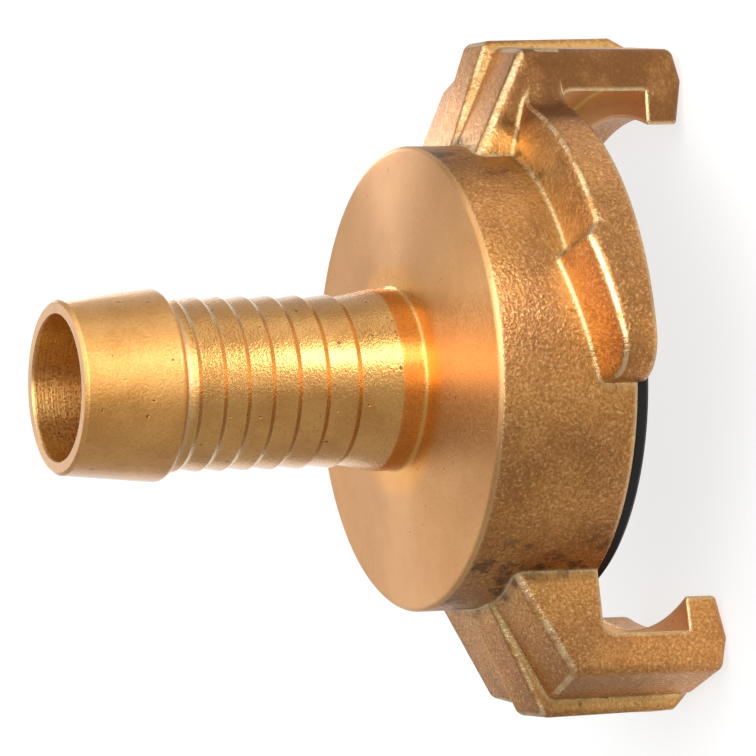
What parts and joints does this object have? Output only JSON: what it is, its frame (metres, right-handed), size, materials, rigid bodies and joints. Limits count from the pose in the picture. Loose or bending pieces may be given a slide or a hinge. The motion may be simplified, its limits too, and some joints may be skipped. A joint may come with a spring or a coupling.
{
  "type": "claw hose coupling",
  "caption": "Brass claw coupling with a ribbed hose tail and a rubber face seal, joined to its mate by a quarter turn.",
  "frame": {"origin": "centre of the bounding box at the level of the claw tips, on which the coupling stands", "axes": "+Z along the bore towards the hose tail, +X through one claw and -X through the other"},
  "size_m": [0.0534, 0.0434, 0.0502],
  "materials": {
    "brass": "satin",
    "rubber": "matte"
  },
  "bodies": {
    "root": {"body": "brass", "seal": "rubber"}
  },
  "joints": []
}
